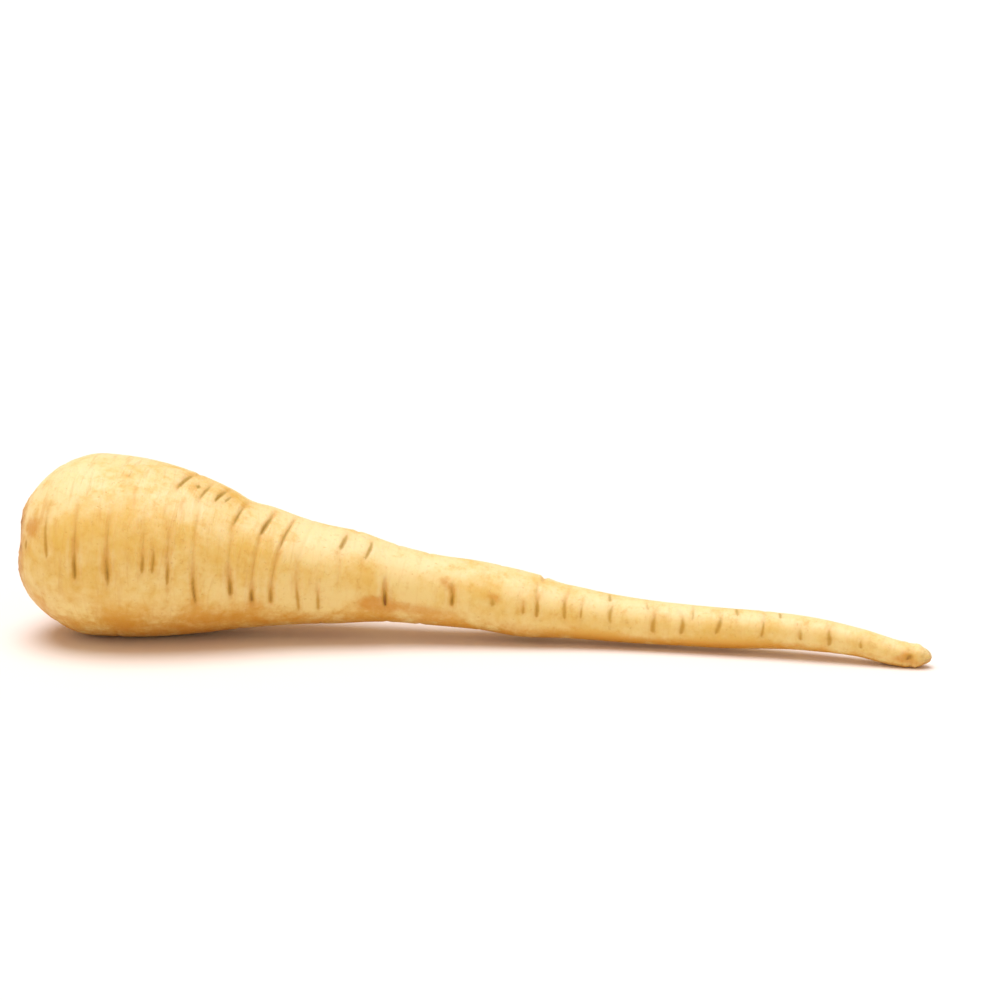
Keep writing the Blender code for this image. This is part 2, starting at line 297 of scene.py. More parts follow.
# Marks on the skin that the photo shows: from station and angle, to station and angle, darkness, half
# width of the slit, its depth, and depth of the wide furrow that it lies in
marks = [
    (9.6, 71, 10.0, 82, 0.80, 0.36, 0.04, 0.08),
    (15.6, 46, 16.7, 86, 0.68, 0.34, 0.05, 0.18),
    (16.8, 9, 14.8, 24, 0.22, 0.28, 0.02, 0.05),
    (23.7, 44, 24.1, 80, 0.30, 0.20, 0.03, 0.20),
    (24.1, 72, 24.2, 97, 0.92, 0.35, 0.25, 0.42),
    (24.8, 9, 23.7, 24, 0.22, 0.28, 0.02, 0.05),
    (31.3, 48, 32.1, 84, 0.30, 0.20, 0.03, 0.20),
    (31.9, 76, 32.7, 100, 0.84, 0.36, 0.22, 0.40),
    (34.4, 11, 33.2, 27, 0.30, 0.28, 0.03, 0.08),
    (40.1, 52, 40.8, 78, 0.24, 0.20, 0.02, 0.12),
    (40.8, 73, 41.3, 91, 0.70, 0.33, 0.15, 0.26),
    (43.1, 68, 43.8, 90, 0.66, 0.33, 0.15, 0.22),
    (45.9, 50, 47.0, 82, 0.30, 0.20, 0.03, 0.18),
    (46.8, 74, 47.8, 97, 0.78, 0.33, 0.18, 0.30),
    (49.0, -6, 45.8, 26, 0.86, 0.31, 0.12, 0.28),
    (51.2, 10, 50.7, 18, 0.85, 0.36, 0.08, 0.12),
    (54.4, 0, 52.1, 30, 0.60, 0.27, 0.08, 0.22),
    (52.6, 30, 53.6, 86, 0.20, 0.18, 0.03, 0.16),
    (53.6, 80, 55.6, 115, 0.86, 0.33, 0.22, 0.38),
    (59.0, -6, 56.3, 26, 0.92, 0.33, 0.12, 0.30),
    (60.4, 4, 58.7, 24, 0.62, 0.28, 0.06, 0.14),
    (64.9, 0, 62.2, 44, 0.60, 0.27, 0.07, 0.28),
    (62.4, 40, 63.4, 88, 0.22, 0.18, 0.03, 0.17),
    (63.2, 79, 64.6, 106, 0.86, 0.40, 0.25, 0.48),
    (72.8, 6, 70.1, 46, 0.92, 0.40, 0.18, 0.40),
    (70.4, 38, 70.0, 98, 0.26, 0.20, 0.05, 0.24),
    (69.8, 90, 70.3, 114, 0.86, 0.42, 0.24, 0.46),
    (79.0, 0, 76.0, 58, 0.58, 0.28, 0.06, 0.32),
    (76.4, 46, 75.2, 96, 0.30, 0.20, 0.05, 0.24),
    (75.1, 88, 75.4, 114, 0.76, 0.38, 0.19, 0.38),
    (84.6, -6, 81.6, 74, 0.12, 0.18, 0.02, 0.08),
    (81.6, 66, 83.0, 127, 0.46, 0.44, 0.06, 0.22),
    (87.8, 84, 88.6, 124, 0.50, 0.48, 0.07, 0.22),
    (88.2, 20, 87.6, 92, 0.10, 0.18, 0.01, 0.05),
    (94.1, 3, 92.9, 44, 0.74, 0.44, 0.05, 0.16),
    (93.0, 40, 93.6, 100, 0.14, 0.18, 0.02, 0.14),
    (100.9, 3, 99.9, 52, 0.60, 0.40, 0.05, 0.12),
    (106.2, 66, 106.6, 96, 0.36, 0.22, 0.06, 0.34),
    (106.5, 76, 107.7, 114, 0.98, 0.42, 0.28, 0.50),
    (115.0, 2, 114.8, 36, 0.16, 0.30, 0.01, 0.10),
    (125.0, 55, 125.3, 80, 0.34, 0.22, 0.06, 0.30),
    (125.2, 66, 125.6, 98, 0.92, 0.34, 0.25, 0.44),
    (136.3, 66, 136.8, 88, 0.50, 0.80, 0.03, 0.13),
    (254.7, 43, 254.0, 102, 0.78, 0.62, 0.08, 0.06),
    (145.3, 64, 145.9, 92, 0.49, 0.48, 0.05, 0.14),
    (148.1, 8, 149.1, 54, 0.22, 0.45, 0.02, 0.13),
    (149.1, 46, 150.1, 96, 0.66, 0.48, 0.10, 0.29),
    (156.9, -20, 157.4, 54, 0.19, 0.47, 0.01, 0.11),
    (157.3, 29, 158.0, 95, 0.52, 0.50, 0.05, 0.20),
    (162.5, 29, 162.5, 88, 0.42, 0.36, 0.04, 0.16),
    (162.5, 77, 162.5, 107, 0.16, 0.36, 0.01, 0.05),
    (168.1, -19, 169.6, 34, 0.44, 0.62, 0.02, 0.06),
    (171.0, 26, 171.0, 95, 0.42, 0.62, 0.03, 0.12),
    (175.5, 72, 175.6, 84, 0.27, 0.56, 0.02, 0.06),
    (179.6, -9, 181.1, 44, 0.34, 0.50, 0.01, 0.06),
    (183.0, 31, 183.0, 103, 0.55, 0.56, 0.06, 0.22),
    (190.3, 31, 191.0, 103, 0.58, 0.60, 0.06, 0.22),
    (194.2, -27, 193.5, 66, 0.34, 0.42, 0.02, 0.08),
    (201.2, 17, 200.5, 97, 0.58, 0.60, 0.06, 0.20),
    (205.1, -38, 206.6, 39, 0.44, 0.45, 0.01, 0.06),
    (214.2, 11, 213.5, 104, 0.46, 0.38, 0.04, 0.18),
    (216.4, -37, 218.6, 35, 0.46, 0.45, 0.01, 0.05),
    (224.5, 36, 224.5, 105, 0.38, 0.60, 0.03, 0.12),
    (232.5, 17, 232.5, 118, 0.55, 0.52, 0.05, 0.18),
    (241.0, 38, 241.0, 101, 0.42, 0.50, 0.03, 0.10),
    (154.9, 118, 162.5, 102, 0.12, 0.60, 0.01, 0.14),
    (149.4, -46, 149.8, 16, 0.22, 0.34, 0.04, 0.50),
]

# Stains: station and angle of the middle, half length, half angle and strength
stains = [
    (12.0, 63, 2.4, 8, 1.20), (64.0, 124, 9.0, 12, 0.35), (54.5, 112, 3.0, 8, 0.40),
    (70.0, 112, 2.2, 9, 0.50), (103.5, 108, 4.5, 12, 0.75), (106.5, 108, 5.0, 16, 0.75),
    (118.5, 110, 10.0, 11, 0.75), (122.8, 57, 1.5, 8, 0.75), (124.5, 66, 1.2, 7, 0.50),
    (136.4, 71, 2.0, 7, 0.75), (145.2, 78, 1.0, 14, 0.60), (161.5, 106, 3.0, 6, 0.45),
    (253.6, 80, 1.8, 26, 1.00), (251.6, 98, 2.4, 20, 0.70), (255.8, 112, 2.2, 22, 0.60),
    (186.0, 55, 3.5, 16, 0.30), (141.0, 214, 6.0, 22, 0.60), (88.0, 190, 9.0, 18, 0.70),
    (31.0, 172, 12.0, 20, 0.55), (201.0, 150, 7.0, 30, 0.50), (58.0, 283, 4.0, 10, 0.45),
    (118.0, 300, 3.0, 12, 0.50), (171.0, 240, 5.0, 24, 0.50),
]

# Broad patches of the skin, given the same way: golden above 0, cream below
patches = [
    (28.0, 66, 22.0, 20, 0.55), (22.0, 20, 9.0, 20, -0.40), (42.5, 97, 6.5, 11, -0.75),
    (20.0, 108, 13.0, 11, 0.15), (32.0, 30, 14.0, 24, 0.55), (54.0, 6, 9.0, 18, 1.00),
    (110.0, 26, 10.0, 26, -0.55), (95.0, 98, 12.0, 9, -0.35), (47.5, 32, 9.0, 16, -0.25),
    (64.5, 62, 4.0, 22, 0.70), (59.0, 92, 4.0, 12, -0.40), (87.0, 30, 7.0, 20, -0.85),
    (80.0, 108, 12.0, 12, -0.35), (99.5, 76, 6.5, 13, 0.45), (112.0, 68, 7.5, 18, -0.50),
    (131.0, 84, 5.0, 20, -0.30), (141.0, 60, 4.0, 20, -0.35), (153.0, 52, 3.0, 30, -0.45),
    (167.0, 54, 10.0, 44, -0.75), (190.0, 80, 9.0, 20, -0.35), (207.0, 74, 6.0, 34, -0.75),
    (222.0, 76, 7.0, 22, -0.35), (243.0, 80, 7.0, 24, -0.40), (88.0, 120, 10.0, 18, -0.70),
    (22.0, 124, 8.0, 14, -0.70), (245.0, 126, 9.0, 16, -0.60), (137.0, 130, 6.0, 14, -0.50),
    (202.0, 124, 13.0, 15, 1.10), (168.0, 124, 14.0, 14, 0.80), (22.0, 60, 5.0, 10, 0.50),
    (59.0, 64, 5.0, 15, 0.70), (70.0, 64, 6.0, 18, 0.85), (82.0, 70, 7.0, 13, 0.85),
    (94.0, 54, 5.0, 16, 0.85), (116.0, 62, 4.0, 12, 1.00), (138.0, 52, 4.0, 20, 0.90),
    (148.5, 12, 4.0, 18, 0.60), (196.0, 66, 5.0, 15, 0.20), (218.0, 62, 4.0, 18, 0.30),
    (196.0, 22, 5.0, 26, 0.50), (230.0, 26, 6.0, 26, 0.60), (247.0, 30, 9.0, 28, 0.80),
    (149.0, 24, 5.0, 30, 0.60),
]

# Stations of the furrows, each with two more on the side away from the camera, as the solid has them
furrowStations = [
    14.7, 23.9, 33.1, 43.0, 49.8, 56.4, 61.0, 66.4, 73.8, 78.8, 83.6, 89.0, 97.0, 107.6, 116.5, 126.0,
    137.4, 149.9, 157.9, 162.6, 170.7, 182.4, 190.6, 200.2, 213.0, 223.8, 232.3, 240.5,
]

# What the marks on the side away from the camera are drawn from
farSide = {
    "seed": 23,
    "fineSeed": 71,
    "furrowsEach": 2,
    "middles": (150.0, 335.0),
    "halfAngles": (14.0, 42.0),
    "depths": (0.25, 0.55),
    "lean": 0.5,
    "darkness": (0.2, 0.95),
    "tailStation": 150,        # past it the slits are paler
    "tailDarkness": 0.72,
    "faintLine": (0.20, 0.18, 0.04),   # darkness, half width and depth of the line in each furrow
    "faintFurrow": 0.45,
    "slitLengths": (0.25, 0.5),        # as shares of the furrow's length
    "slitPlace": 0.4,
    "slitWidth": 0.22,
    "darkWidth": 0.12,         # what a fully dark slit adds to its half width
    "slitDepth": 0.22,
    "slitFurrow": 0.08,
    "shortMarks": 26,
    "shortStations": (12.0, 240.0),
    "shortMiddles": (150.0, 330.0),
    "shortHalfAngles": (6.0, 20.0),
    "shortLean": 0.6,
    "shortDarkness": (0.2, 0.55),
    "shortWidth": 0.24,
    "shortDepth": 0.14,
}


def farMarks():
    draw = random.Random(farSide["seed"])
    furrows = []
    for station in furrowStations:
        for _ in range(farSide["furrowsEach"]):
            middle = draw.uniform(*farSide["middles"])
            half = draw.uniform(*farSide["halfAngles"])
            furrows.append((station, middle, half, draw.uniform(*farSide["depths"])))
    fine = random.Random(farSide["fineSeed"])
    rows = []
    for station, middle, half, depth in furrows:
        lean = fine.uniform(-farSide["lean"], farSide["lean"])
        dark = fine.uniform(*farSide["darkness"])
        dark *= farSide["tailDarkness"] if station > farSide["tailStation"] else 1.0
        rows.append((station - lean, middle - half, station + lean, middle + half,
                     *farSide["faintLine"], depth * farSide["faintFurrow"]))
        share = fine.uniform(*farSide["slitLengths"])
        centre = middle + half * fine.uniform(-farSide["slitPlace"], farSide["slitPlace"])
        width = farSide["slitWidth"] + farSide["darkWidth"] * dark
        rows.append((station - lean * share, centre - half * share, station + lean * share,
                     centre + half * share, dark, width, farSide["slitDepth"] * dark,
                     farSide["slitFurrow"]))
    for _ in range(farSide["shortMarks"]):
        station = fine.uniform(*farSide["shortStations"])
        middle = fine.uniform(*farSide["shortMiddles"])
        half = fine.uniform(*farSide["shortHalfAngles"])
        lean = fine.uniform(-farSide["shortLean"], farSide["shortLean"])
        dark = fine.uniform(*farSide["shortDarkness"])
        depth = farSide["shortDepth"] * dark
        rows.append((station - lean, middle - half, station + lean, middle + half,
                     dark, farSide["shortWidth"], depth, depth))
    return rows


def fadeIn(name, values):
    return easeIn(values, *rootSkin["fades"][name])


# 1 along the body, and 0 at the crown and the tip
def bodyShare(stations):
    return fadeIn("body", stations) * (1 - fadeIn("bodyEnd", stations))


# How far a ring of the skin wanders along the root, as the solid's furrows do
def ringShift(stations, angles):
    return ripple(rootSkin["ringWander"], angles, stations) * bodyShare(stations)


# The marks of the photo are placed by where they show, so the wander comes off them
def onRings(rows):
    found = []
    for row in rows:
        stations = np.array([row[0], row[2]], float)
        moved = stations - ringShift(stations, np.radians([row[1], row[3]]))
        found.append((moved[0], row[1], moved[1], row[3], *row[4:]))
    return found


# Radius and station of every ring of the tube, from the middle of the crown to the tip
def ringTable(rows):
    rim = rimStation
    floor = rim + form["socketDepth"]
    edge = rim + form["dish"][0][1]
    inner = [(radius, floor) for radius in rootSkin["floorRings"]]
    wall = [(form["socketRadius"], station) for station in np.linspace(floor, edge, rootSkin["wallRings"])]
    dish = np.array([(radius, rim + depth) for radius, depth in form["dish"]])
    along = np.concatenate([[0.0], np.cumsum(np.hypot(*np.diff(dish, axis=0).T))])
    spots = np.linspace(0.0, along[-1], rootSkin["dishRings"] + 1)[1:]
    dishRows = list(zip(np.interp(spots, along, dish[:, 0]), np.interp(spots, along, dish[:, 1])))
    turns = np.linspace(0.0, math.pi / 2, rootSkin["tipRings"] + 2)[1:-1]
    reach = form["length"] - form["tipStation"]
    tip = [(form["tipRadius"] * math.cos(turn), form["tipStation"] + reach * math.sin(turn))
           for turn in turns]
    total = rootSkin["firstCuts"] + 2 + (rootSkin["firstCuts"] + 1) * rootSkin["secondCuts"]
    count = total - len(inner) - len(wall) - len(dishRows) - len(tip)
    step = rootSkin["countStep"]
    fine = np.arange(rim, form["tipStation"], step)
    stretch = np.hypot(np.gradient(bodyRadius(fine), fine), 1.0)
    density = np.full_like(fine, 1 / rootSkin["widestStep"])
    for startStation, _, endStation, _, dark, *_ in rows:
        for share in np.linspace(0.1, 0.9, 5):
            spot = startStation + (endStation - startStation) * share
            peak = np.exp(-((fine - spot) / rootSkin["slitBand"]) ** 2) / rootSkin["slitStep"]
            density = np.maximum(density, peak * min(1.0, 0.45 + 0.6 * dark))   # closest at dark slits
    crowd = np.concatenate([[0.0], np.cumsum(density * stretch * step)])[:-1]
    print("rings wanted", round(crowd[-1]), "rings there are", count)
    body = np.interp(np.linspace(crowd[0], crowd[-1], count + 1), crowd, fine)[1:]
    return np.array(inner + wall + dishRows + list(zip(bodyRadius(body), body)) + tip)


# How each mark is drawn. A share is a place along it, from -1 at its start to 1 at its end
markShape = {
    "seed": 71,
    "reach": 4.0,              # mm beside its line that a mark can touch
    "overrun": 2.2,            # share where it has faded away
    "leanEnd": 1.5,            # share past which its line stays level
    "wobble": 0.16,            # how far it strays from its line, in mm
    "sway": 0.5,
    "swayTurns": 3.3,
    "endWidth": 0.3,           # what is left of a slit's width at its ends
    "swellPull": 0.6,          # how far a heavy end pulls the widest place
    "fullFrom": 0.1,
    "fadeFrom": 0.55,
    "fadePull": 0.4,
    "darkWidth": 1.35,         # how much wider the colour of a slit is than its cut
    "darkEdge": 1.3,           # the higher, the sharper its edge
    "cutEdge": 1.6,
    "haloWidth": 1.0,          # mm that the tan beside a slit adds to its width
    "haloFade": (0.6, 1.7),
    "furrowWidth": 1.05,
    "furrowEdge": 1.1,
    "furrowFade": (0.35, 1.5),
}


def markFields(stations, angles, rows):
    style = markShape
    degrees = np.degrees(angles)
    draw = random.Random(style["seed"])
    fields = {name: np.zeros_like(stations) for name in ("slit", "halo", "cut", "furrow")}
    for startStation, startAngle, endStation, endAngle, dark, width, cutDepth, furrowDepth in rows:
        half = (endAngle - startAngle) / 2
        centre = (startStation + endStation) / 2
        lean = (endStation - startStation) / 2
        bend, phase, heavy = draw.uniform(-1, 1), draw.uniform(0, 6), draw.uniform(-0.1, 0.5)
        around = turnFrom(degrees, (startAngle + endAngle) / 2)
        near = np.abs(stations - centre) < style["reach"] + abs(lean)
        near &= np.abs(around) < style["overrun"] * half
        share = around[near] / half
        sway = bend * share ** 2 + style["sway"] * np.sin(style["swayTurns"] * share + phase)
        offset = stations[near] - centre - lean * np.clip(share, -style["leanEnd"], style["leanEnd"])
        offset -= style["wobble"] * sway
        swell = np.sqrt(np.clip(1 - (share - heavy * style["swellPull"]) ** 2, 0, 1))
        lens = width * (style["endWidth"] + (1 - style["endWidth"]) * swell)
        along = easeIn(share, -1.0, style["fullFrom"] + heavy)
        along *= 1 - easeIn(share, style["fadeFrom"] + heavy * style["fadePull"], 1.0)
        slit = along * dark * np.exp(-(np.abs(offset) / (lens * style["darkWidth"])) ** style["darkEdge"])
        halo = np.exp(-(offset / (style["haloWidth"] + width)) ** 2)
        halo *= dark * (1 - easeIn(np.abs(share), *style["haloFade"]))
        cut = along * cutDepth * np.exp(-(np.abs(offset) / lens) ** style["cutEdge"])
        across = (offset / style["furrowWidth"]) ** 2
        wide = (1 - across) * np.exp(-style["furrowEdge"] * across)
        wide *= 1 - easeIn(np.abs(share), *style["furrowFade"])
        fields["slit"][near] = np.maximum(fields["slit"][near], slit)
        fields["halo"][near] = 1 - (1 - fields["halo"][near]) * (1 - halo)
        fields["cut"][near] = np.maximum(fields["cut"][near], cut)
        fields["furrow"][near] += furrowDepth * wide
    return fields


# The share that each row of a table of patches adds at each point
def patchField(rows, stations, angles):
    total = np.zeros_like(stations)
    for station, middle, halfLength, halfAngle, strength in rows:
        around = turnFrom(np.degrees(angles), middle)
        total += strength * np.exp(-((stations - station) / halfLength) ** 2 - (around / halfAngle) ** 2)
    return total


def relief(name, points, detail=1):
    style = rootSkin[name]
    return grain(points, 1 / style["size"], style["seed"], detail) * style["height"]


def makeRootSkin():
    rows = onRings(marks) + farMarks()
    rings = ringTable(rows)
    length = form["length"]
    tube = addPost("rootSkin", rootSkin["sides"], form["shoulderRadius"] * mm, length * mm, "TRIFAN")
    cutAcross(tube, rootSkin["firstCuts"])
    cutAcross(tube, rootSkin["secondCuts"])
    mesh = tube.data
    start = readPoints(mesh)
    levels = np.round((length / 2 - start[:, 2]) / length * (len(rings) - 1)).astype(int)
    angles = np.arctan2(-start[:, 1], start[:, 0])
    poles = np.hypot(start[:, 0], start[:, 1]) < 1.0
    tipPole = poles & (levels > 0)
    crownRings = len(rootSkin["floorRings"]) + rootSkin["wallRings"] + rootSkin["dishRings"]
    onBody = (levels >= crownRings) & ~poles
    radii = np.where(poles, 0.0, rings[levels, 0])
    flats = np.where(tipPole, length, rings[levels, 1])      # stations before the rings wander

    # The same form as the solid's, without its furrows
    body = bodyShare(flats)
    dish = easeIn(radii, form["socketRadius"], form["rimRadius"])
    dish *= 1 - easeIn(flats, rimStation, rootSkin["dishEnd"])
    stations = flats + np.where(onBody, ringShift(flats, angles), 0.0)
    bodyRadii = np.where(onBody, bodyRadius(np.clip(stations, rimStation, length)), radii)
    share = 1 + body * ripple(rootSkin["ovalBody"], angles, stations)
    share += dish * ripple(rootSkin["ovalDish"], angles, stations)
    lift = dish * ripple(rootSkin["wavyDish"], angles, flats)
    straight = np.column_stack([
        bodyRadii * share * np.cos(angles), -bodyRadii * share * np.sin(angles), -stations + lift])
    base = laidDown(straight)
    base[:, 2] = np.maximum(base[:, 2], 0.0)
    writePoints(mesh, base)
    outward = readNormals(mesh)
    print("skin laid", len(mesh.vertices), "points")

    # The skin's own relief, pushed in and out along its normals
    fields = markFields(flats, angles, rows)
    neck = fadeIn("neck", stations)
    wrinkles = relief("wrinkles", straight * rootSkin["wrinkleSquash"], 3)
    wrinkles *= (1.0 - rootSkin["neckWrinkles"] * neck) * fadeIn("wrinkles", stations)
    push = relief("unevenness", straight) * body + wrinkles
    offDish = np.where(flats < rootSkin["crownEnd"], fadeIn("swellings", bodyRadii), 1.0)
    push += patchField(rootSkin["bumps"], flats, angles) * offDish
    push += fadeIn("tail", stations) * relief("tipRelief", base, 3)
    notch = rootSkin["tipNotch"]
    notched = notch["depth"] * np.exp(-((stations - notch["station"]) / notch["half"]) ** 2)
    push -= notched * fadeIn("notch", np.cos(angles - notch["facing"]))
    crownStart, crownStop = rootSkin["crownReach"]
    nearCrown = 1 - easeIn(flats, rimStation + crownStart, rimStation + crownStop)
    nearCrown *= fadeIn("crownBark", radii)
    scars = grain(straight, rootSkin["scars"]["scale"], rootSkin["scars"]["seed"], 3)
    spoke = rootSkin["spokes"]
    fan = np.column_stack([
        np.cos(angles) * spoke["round"], np.sin(angles) * spoke["round"], radii * spoke["out"]])
    spokes = grain(fan, 1.0, spoke["seed"], 2)
    push += nearCrown * rootSkin["crownRelief"] * (scars + spoke["share"] * spokes)
    push -= np.where(onBody, fields["furrow"] + fields["cut"], 0.0) * fadeIn("marks", stations)
    points = base + outward * push[:, None]
    points[:, 2] = np.maximum(points[:, 2], 0.0)
    writePoints(mesh, points)

    # What the finish reads
    seen = {
        "slit": fields["slit"],
        "halo": fields["halo"],
        # depth of the furrows, which the finish also turns into painted shade in them and painted
        # highlights at their lips
        "hollow": fields["furrow"],
        "neck": neck,
        "crown": nearCrown,
        # share of the underside that gets painted shade, partly the skin's own staining
        "under": fadeIn("under", -np.cos(angles)),
        # where the painted highlight on the top lies, also paler skin there
        "top": fadeIn("top", np.cos(angles - rootSkin["topFacing"])),
        "tipEnd": np.where(tipPole, 1.0, fadeIn("tipEnd", flats)),
        "stain": np.clip(patchField(stains, flats, angles), 0.0, 1.0),
        "patch": patchField(patches, flats, angles),
    }
    for name, values in seen.items():
        keepValues(mesh, name, values)
    keepVectors(mesh, "straight", straight * mm)
    pick(tube)
    bpy.ops.object.shade_smooth()
    return tube


# The trimmed leaf stubs in the dish of the crown, and the plate that they stand on, in mm
leafStubs = {
    "rows": [                  # radius, count, width, height above the crown plate and lean
        (5.2, 6, 4.9, 2.6, 0.60),
        (4.0, 5, 4.4, 3.3, 0.40),
        (2.75, 4, 3.6, 3.9, 0.20),
        (1.3, 3, 2.1, 4.1, 0.05),
    ],
    "seed": 23,
    "fineSeed": 5,
    "turnSpread": 0.09,
    "widthSpread": (0.85, 1.08),   # what a stub's own width, height and lean are multiplied by
    "heightSpread": (0.72, 1.12),
    "leanSpread": (0.4, 1.3),
    "slant": 0.55,             # of the cut, for each half width
    "thickness": 1.05,
    "sunk": 0.8,
    "topShare": 0.72,          # how wide a stub is at its top, against its foot
    "sides": 28,
    "cuts": 11,
    "capInsets": ((0.14, 0.0), (0.16, -0.035), (0.2, -0.02), (0.22, 0.0)),   # width and depth
    "ribs": 0.11,              # height of the ribs along a stub
    "ragged": 0.42,            # how uneven the cut is
    "curl": 0.25,
    "sideLean": 0.05,
    "plateThickness": 2.1,
    "plateDome": 0.3,
    "plateBark": 0.35,
    "plateSides": 48,
    "plateInsets": 6,
    "plateInset": 0.13,
    "gap": 0.3,                # round the plate and under it
    "smoothAngle": 50.0,
}
plateUnderside = rimStation + form["socketDepth"] - leafStubs["gap"]
plateTop = plateUnderside - leafStubs["plateThickness"]

# Thin papery scales round the stubs, and shreds among them. A pair is a range to draw from, in mm
scales = {
    "count": 22,
    "turnSpread": 0.35,
    "lengths": (1.2, 2.6),
    "widths": (2.0, 3.6),
    "curls": (0.2, 1.1),
    "twist": 0.5,
    "sunk": 0.25,
    "outer": {"radius": 6.0, "stretch": 0.8, "leans": (0.2, 0.9)},
    "inner": {"radius": 5.7, "stretch": 1.2, "leans": (-0.1, 0.4)},
    "cells": (7, 10),
    "thickness": 0.09,
    "pointedness": (2.2, 0.7), # how late and how sharply a scale narrows
    "endWidth": 0.1,
    "wave": 0.22,
    "cup": 0.10,
    "torn": 0.14,
}
shreds = {
    "count": 5,
    "place": 0.8,              # share of a stub's lean
    "turnSpread": 0.3,
    "heights": (0.9, 1.15),    # as shares of a stub's height
    "widths": (0.5, 1.0),
    "lean": 0.3,
    "curls": (1.0, 2.0),
    "twist": 1.2,
    "sunk": 0.2,
}


# What the stubs' finish reads
def keepStubValues(mesh, pith, rise, age, growth):
    keepValues(mesh, "pith", pith)
    keepValues(mesh, "rise", rise)
    keepValues(mesh, "age", np.full(len(mesh.vertices), age))
    keepVectors(mesh, "growth", growth)


# A stub to copy: a unit post whose cut top has a rim and a sunk pith
def makePost():
    post = addPost("stubPost", leafStubs["sides"], 1.0, 1.0)
    cutAcross(post, leafStubs["cuts"])
    pickTop(post)
    for thickness, depth in leafStubs["capInsets"]:
        bpy.ops.mesh.inset(thickness=thickness, depth=depth)
    bpy.ops.mesh.poke()
    setMode("OBJECT")
    return post


def copyOf(item, name):
    copied = item.copy()
    copied.data = item.data.copy()
    copied.name = name
    bpy.context.scene.collection.objects.link(copied)
    return copied


def shapeStub(item, row, turn, draw, fine):
    radius, _, width, height, lean = row
    width *= draw.uniform(*leafStubs["widthSpread"])
    height *= draw.uniform(*leafStubs["heightSpread"])
    lean *= draw.uniform(*leafStubs["leanSpread"])
    slant = draw.uniform(-leafStubs["slant"], leafStubs["slant"])
    seed = fine.uniform(0, 40)
    unit = readPoints(item.data) * mm           # in the post's own units, 1 high and 1 in radius
    across, through, rise = unit[:, 0], unit[:, 1], np.clip(unit[:, 2] + 0.5, 0.0, 1.0)
    reach = np.hypot(across, through)
    cap = (rise > 0.94) & (reach < 0.97)
    ribSpace = np.column_stack([across * 4.2, through * 1.6, rise * 0.7])
    ribs = grain(ribSpace, 1.0, seed, 2) * leafStubs["ribs"]
    fringeSpace = np.column_stack([across * 2.6, through * 1.1, 0 * rise])
    fringe = grain(fringeSpace, 1.0, seed + 3, 2) * leafStubs["ragged"]
    share = 1 - (1 - leafStubs["topShare"]) * rise
    curl = leafStubs["curl"] * fine.uniform(-1, 1) * rise ** 3 * across
    spread = radius + lean * rise ** 2 + through * leafStubs["thickness"] / 2 * share + curl
    spread += ribs * np.where(cap, 0.0, np.sign(through) * np.abs(through) ** 0.3)
    angle = turn + across * width / 2 * share / radius
    angle += fine.uniform(-leafStubs["sideLean"], leafStubs["sideLean"]) * rise
    tall = height + leafStubs["sunk"] + slant * across + fringe * (rise > 0.2)
    level = -plateTop - leafStubs["sunk"] + rise * tall
    level -= np.where(rise > 0.9, (1.0 - rise) * 2.0, 0.0)    # the pith sinks below the rim
    upright = np.column_stack([spread * np.cos(angle), spread * np.sin(angle), level])
    writePoints(item.data, laidDown(upright))
    pith = np.where(cap, 1 - easeIn(reach, 0.55, 0.95), 0.0)
    growth = np.column_stack([across * width / 2 + seed, through * 0.6, rise * tall])
    keepStubValues(item.data, pith, rise * tall / 4.0, fine.uniform(0, 1), growth)


# A thin scale to copy: a square of cells with its thickness, x across it and y along it
def makeScale():
    pick()
    cellsAcross, cellsAlong = scales["cells"]
    bpy.ops.mesh.primitive_grid_add(x_subdivisions=cellsAcross, y_subdivisions=cellsAlong, size=2.0)
    scale = bpy.context.object
    scale.name = "scaleSheet"
    wall = scale.modifiers.new("wall", "SOLIDIFY")
    wall.thickness = 0.08
    wall.offset = 0.0
    applyModifiers(scale)
    return scale


# Stands a scale or shred on the crown. Its foot is a height, and a curl turns it outwards, in radians
def shapeScale(item, radius, turn, length, width, lean, curl, foot, twist, fine):
    seed = fine.uniform(0, 40)
    unit = readPoints(item.data) * mm
    across, rise, through = unit[:, 0], (unit[:, 1] + 1) / 2, unit[:, 2] / 0.04   # through is -1 to 1
    late, sharp = scales["pointedness"]
    narrow = (1 - rise ** late) ** sharp * (1 - scales["endWidth"]) + scales["endWidth"]
    wavy = grain(np.column_stack([across * 1.7, rise * 2.4, 0 * rise]), 1.0, seed, 2)
    bend = curl * rise ** 2
    along = np.sin(bend) / curl * length
    outwards = (1 - np.cos(bend)) / curl * length
    side = across * narrow * width / 2 + twist * rise ** 2
    reach = radius + lean * rise + outwards + through * scales["thickness"] / 2
    reach += scales["wave"] * wavy * rise - scales["cup"] * across ** 2
    angle = turn + side / np.maximum(radius, 1.5)
    level = foot + along * (1 + scales["torn"] * wavy)
    upright = np.column_stack([reach * np.cos(angle), reach * np.sin(angle), level])
    writePoints(item.data, laidDown(upright))
    growth = np.column_stack([side + seed, through * 0.1, rise * length])
    keepStubValues(item.data, np.zeros(len(unit)), 0.25 + rise * 0.6, fine.uniform(0, 1), growth)


